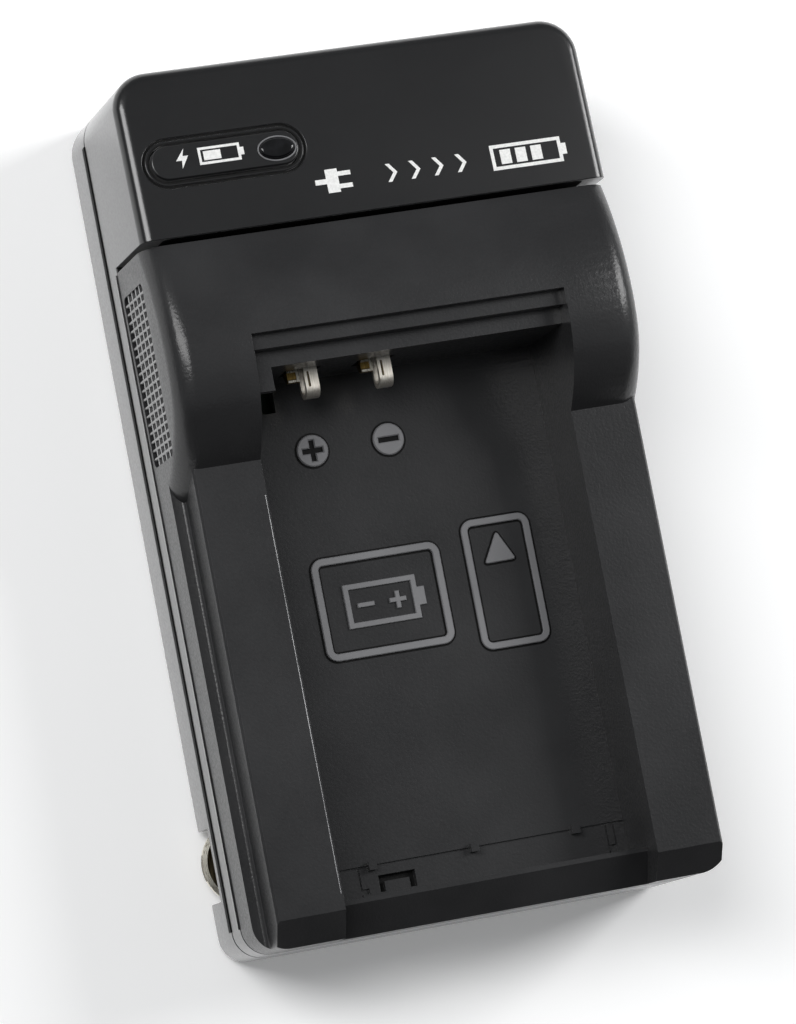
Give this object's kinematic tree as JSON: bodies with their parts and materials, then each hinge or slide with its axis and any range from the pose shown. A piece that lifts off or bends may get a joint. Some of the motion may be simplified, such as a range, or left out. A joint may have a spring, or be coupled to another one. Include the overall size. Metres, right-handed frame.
{
  "type": "camera battery charger",
  "caption": "Travel charger for a slim camera battery, with an open bay, sprung contacts, a charge light and folding mains blades.",
  "frame": {"origin": "centre of the back face, on which the charger lies", "axes": "+X across the width, +Y towards the cap end, +Z out of the open front"},
  "size_m": [0.053, 0.0936, 0.0284],
  "materials": {
    "case_plastic": "fine moulded grain, black",
    "cap_plastic": "semi-gloss moulded, black",
    "cradle_plastic": "satin moulded, black",
    "indicator_plastic": "semi-gloss moulded, black",
    "lens_plastic": "polished dark tinted lens",
    "led_epoxy": "clear tinted epoxy",
    "nickel_plate": "nickel-plated brass",
    "leaf_brass": "rolled spring brass",
    "board_laminate": "solder-masked laminate",
    "ferrite": "sintered ferrite",
    "winding_tape": "polyester tape",
    "capacitor_can": "drawn can",
    "fuse_glass": "glass tube with metal ends",
    "chip_epoxy": "moulded epoxy",
    "pin_steel": "drawn steel",
    "screw_steel": "dark zinc"
  },
  "bodies": {
    "case": {"rear_shell": "case_plastic", "front_frame": "cap_plastic", "battery_cradle": "cradle_plastic", "indicator_plate": "indicator_plastic", "led_lens": "lens_plastic", "charge_led": "led_epoxy", "positive_contact": "nickel_plate", "negative_contact": "nickel_plate", "positive_leaf": "leaf_brass", "negative_leaf": "leaf_brass", "circuit_board": "board_laminate", "transformer_core": "ferrite", "transformer_winding": "winding_tape", "input_capacitor": "capacitor_can", "output_capacitor": "capacitor_can", "choke": "ferrite", "fuse": "fuse_glass", "rectifier": "chip_epoxy", "controller_chip": "chip_epoxy", "pivot_pin_left": "pin_steel", "pivot_pin_right": "pin_steel", "blade_spring_left": "leaf_brass", "blade_spring_right": "leaf_brass", "case_screws": "screw_steel"},
    "left_blade": {"plug_blade_left": "nickel_plate"},
    "right_blade": {"plug_blade_right": "nickel_plate"}
  },
  "joints": [
    {"name": "left_blade_fold", "type": "hinge", "parent": "case", "child": "left_blade", "pos_m": [-0.00635, -0.03605, 0.0024], "axis": [0, -1, 0], "range_deg": [0, 90]},
    {"name": "right_blade_fold", "type": "hinge", "parent": "case", "child": "right_blade", "pos_m": [0.00635, -0.03605, 0.0024], "axis": [0, 1, 0], "range_deg": [0, 90]}
  ]
}
